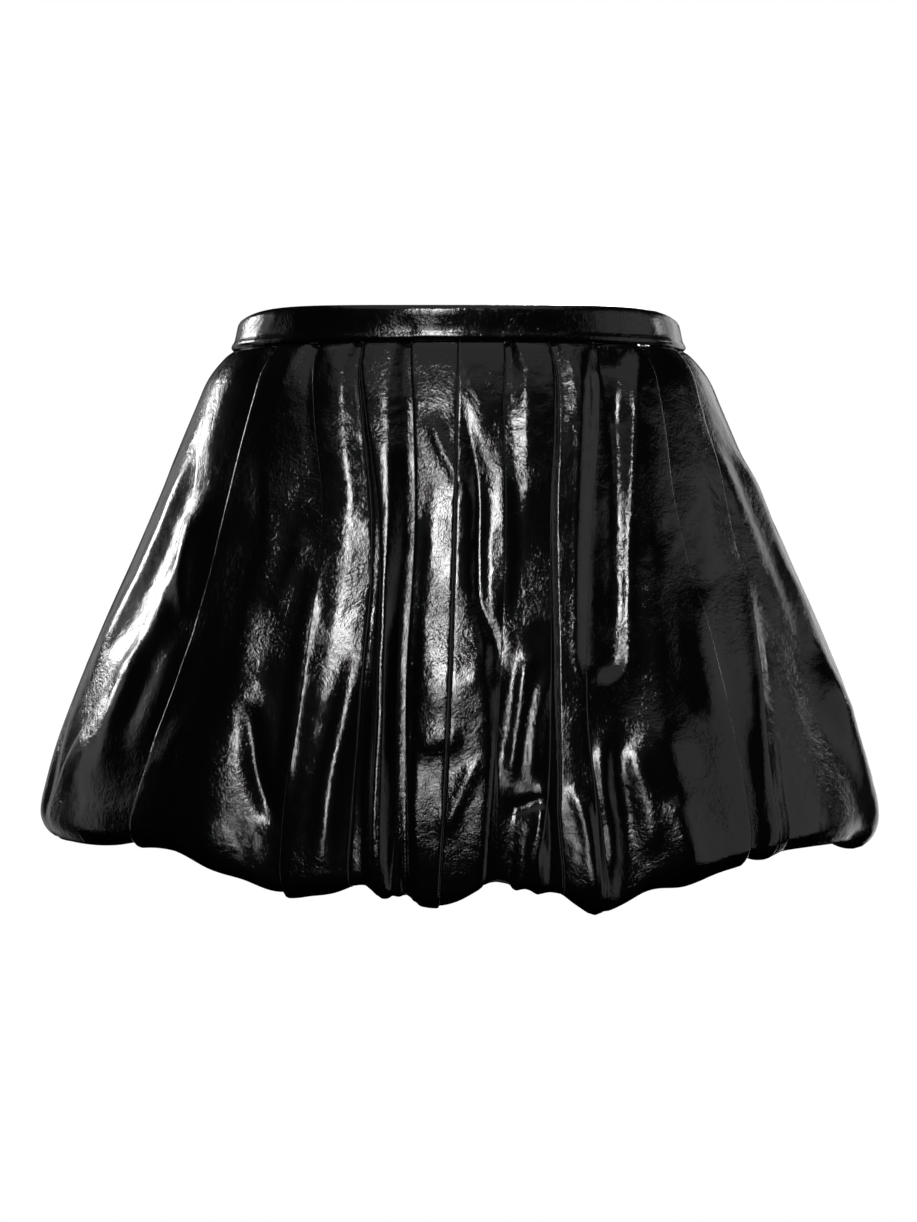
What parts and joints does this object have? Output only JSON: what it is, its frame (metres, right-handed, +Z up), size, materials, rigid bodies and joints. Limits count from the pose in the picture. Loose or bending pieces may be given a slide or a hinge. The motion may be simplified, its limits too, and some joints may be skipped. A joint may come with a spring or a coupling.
{
  "type": "leather mini skirt",
  "caption": "Short flared patent-leather skirt with knife pleats, a turned-under balloon hem and a narrow waistband closed by a back zip, filled out and hollow.",
  "frame": {"origin": "centre of the waist, halfway up the waistband, where the skirt is held", "axes": "+Z up, -Y to the wearer's front, +X to the wearer's left"},
  "size_m": [0.4991, 0.4096, 0.3507],
  "materials": {
    "patent_leather": "high gloss black patent",
    "zip_coil": "black woven tape and coil",
    "zip_metal": "black lacquered metal"
  },
  "bodies": {
    "skirt": {"front_centre_left": "patent_leather", "front_centre_right": "patent_leather", "front_side_left": "patent_leather", "front_side_right": "patent_leather", "back_centre_left": "patent_leather", "back_centre_right": "patent_leather", "back_side_left": "patent_leather", "back_side_right": "patent_leather", "waistband_front": "patent_leather", "waistband_back_left": "patent_leather", "waistband_back_right": "patent_leather", "zip_chain": "zip_coil", "zip_slider": "zip_metal"},
    "pull": {"zip_pull": "zip_metal"}
  },
  "joints": [
    {"name": "zip_pull_hinge", "type": "hinge", "parent": "skirt", "child": "pull", "pos_m": [0, 0.10056, 0.00637], "axis": [1, 0, 0], "range_deg": [0, 150]}
  ]
}
